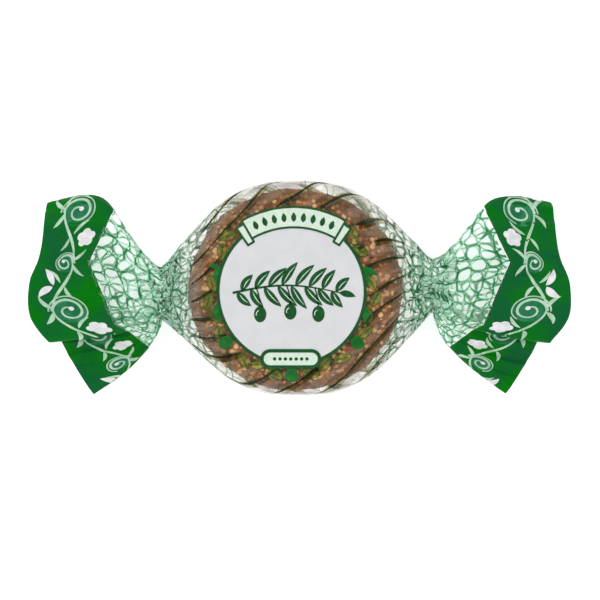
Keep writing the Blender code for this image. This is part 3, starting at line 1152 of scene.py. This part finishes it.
def on_biscuit(place, slope, angle):
    """A point of the smooth biscuit, at an angle round it, and the way out of it there."""
    (radius, height), (dr, dz) = place, slope
    c, s = math.cos(angle), math.sin(angle)
    return Vector((radius * c, radius * s, height)), Vector((-dz * c, -dz * s, dr))


def stretched(point):
    """Where a point of the round biscuit lies in the pack."""
    return point.x * BISCUIT_STRETCH + BISCUIT_AT[0], point.y + BISCUIT_AT[1], point.z


def make_biscuit():
    """The biscuit's body, which is crumbly all over and cracked down its side."""
    profile, slopes = biscuit_profile()
    sides = int(math.tau * BISCUIT_RADIUS / BISCUIT_STEP)
    points = []
    for place, slope in zip(profile, slopes):
        for i in range(sides):
            base, outward = on_biscuit(place, slope, math.tau * i / sides)
            push = crumble(base, outward) * min(1.0, place[0] / 3)
            points.append(stretched(base + outward * push))
    dressed("biscuit", points, grid_faces(len(profile), sides), baked_crumb())


SEEDS = 420
SEEDED_RADIUS = 22.2  # beyond it they lie thinner
SEEDS_AT_EDGE = 0.4  # as a share of how thick they lie within it
LARGE_SEEDS = 0.12  # share of them
SEED_SIDES = 6
SEED_LEVELS = (1.0, 0.0), (0.75, 0.38)  # width and height of its foot and its top


def make_seeds():
    """Pale seeds, pressed into the biscuit's top and side."""
    rng = random.Random(23)
    points, faces = [], []
    profile, slopes = biscuit_profile()
    weights = [(r + 1e-6) * (1.0 if r < SEEDED_RADIUS else SEEDS_AT_EDGE) for r, _ in profile]
    for _ in range(SEEDS):
        k = rng.choices(range(len(profile)), weights)[0]
        base, outward = on_biscuit(profile[k], slopes[k], rng.uniform(0, math.tau))
        base += outward * (crumble(base, outward) + 0.05)
        size = rng.uniform(0.35, 0.8) * (1.6 if rng.random() < LARGE_SEEDS else 1)
        side = outward.cross(Vector([rng.uniform(-1, 1) for _ in range(3)])).normalized()
        ahead = outward.cross(side)
        first = len(points)
        for level, (spread, rise) in enumerate(SEED_LEVELS):
            for i in range(SEED_SIDES):
                a = math.tau * (i + 0.3 * level) / SEED_SIDES
                wobble = rng.uniform(0.75, 1.15) * size * spread
                p = base + side * (math.cos(a) * wobble) + ahead * (math.sin(a) * wobble * 0.7)
                points.append(stretched(p + outward * (rise * size)))
        faces += grid_faces(2, SEED_SIDES, first)
        faces.append(tuple(range(first + SEED_SIDES, first + 2 * SEED_SIDES)))
    dressed("sesame_seeds", points, faces, sesame_seed(), smooth=False)


# Surroundings, in metres

CAMERA_HEIGHT = 1.2
PICTURE_WIDTH = 0.14562  # what the picture spans at the height of the tails
PICTURE_MIDDLE = (0.00012, -0.00291)
DOME = (0.0, 0.7), (0.35, 0.9), (0.6, 1.0), (0.93, 1.0), (0.98, 0.25)  # light by sine of height
DOME_STRENGTH = 1.05
FLOOR_GLOW = 0.5  # the floor is a light table
FLOOR_REACH = 3.0
FLOOR_DROP = 0.00012  # how far it lies under the pack


def make_camera():
    data = bpy.data.cameras.new("camera")
    data.sensor_width = 36.0
    data.lens = data.sensor_width * (CAMERA_HEIGHT - CENTRE_Z * MM) / PICTURE_WIDTH
    camera = placed("camera", data)
    camera.location = (*PICTURE_MIDDLE, CAMERA_HEIGHT)
    bpy.context.scene.camera = camera
    bpy.context.scene.cycles.transparent_max_bounces = 64


def make_light(name, at, size, power):
    data = bpy.data.lights.new(name, "AREA")
    data.shape = "RECTANGLE"
    data.size, data.size_y = size
    data.energy = power
    lamp = placed(name, data)
    lamp.location = at
    lamp.rotation_euler = (-Vector(at)).to_track_quat("-Z", "Y").to_euler()


def make_floor():
    m = Nodes("floor")
    shade = m.blend(m.noise(30, 3.0), (0.90, 0.90, 0.90, 1), (0.93, 0.93, 0.93, 1))
    glow = {"Emission_Color": (1, 1, 1, 1), "Emission_Strength": FLOOR_GLOW}
    data = bpy.data.meshes.new("floor")
    corners = [(x * FLOOR_REACH, y * FLOOR_REACH, 0) for x, y in ((-1, -1), (1, -1), (1, 1), (-1, 1))]
    data.from_pydata(corners, [], [(0, 1, 2, 3)])
    data.materials.append(m.finish(m.surface(Base_Color=shade, Roughness=0.9, **glow)))
    floor = placed("floor", data)
    floor.location.z = -FLOOR_DROP


def make_world():
    """A pale dome, dim straight overhead, so that only tilted film mirrors its light."""
    world = bpy.data.worlds.new("studio")
    world.use_nodes = True
    tree = world.node_tree
    place, axes, ramp = (
        tree.nodes.new(kind)
        for kind in ("ShaderNodeTexCoord", "ShaderNodeSeparateXYZ", "ShaderNodeValToRGB")
    )
    marks = ramp.color_ramp.elements
    while len(marks) < len(DOME):
        marks.new(0.5)
    for mark, (height, light) in zip(marks, DOME):
        mark.position, mark.color = height, (light, light, light, 1)
    tree.links.new(place.outputs["Generated"], axes.inputs[0])
    tree.links.new(axes.outputs["Z"], ramp.inputs["Fac"])
    tree.links.new(ramp.outputs["Color"], tree.nodes["Background"].inputs["Color"])
    tree.nodes["Background"].inputs["Strength"].default_value = DOME_STRENGTH
    bpy.context.scene.world = world
    bpy.context.scene.view_settings.view_transform = "Standard"


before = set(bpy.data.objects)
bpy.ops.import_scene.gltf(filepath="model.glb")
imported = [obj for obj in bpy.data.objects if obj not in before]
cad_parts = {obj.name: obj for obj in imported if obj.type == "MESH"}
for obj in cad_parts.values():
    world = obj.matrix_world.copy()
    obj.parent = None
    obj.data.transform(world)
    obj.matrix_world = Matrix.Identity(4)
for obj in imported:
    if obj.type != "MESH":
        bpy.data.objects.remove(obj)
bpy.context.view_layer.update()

make_camera()
make_world()
make_floor()
make_light("key", (-0.5, 0.1, 0.7), (0.4, 0.4), 1.6)
make_light("fill", (0.6, -0.25, 0.5), (0.3, 0.6), 0.8)

film = Sheet()
top = Top(film)
make_biscuit()
make_seeds()
make_film(film)
make_knots(film)
make_net(film)
make_vine(film)
make_wreath(top)
make_label(top)
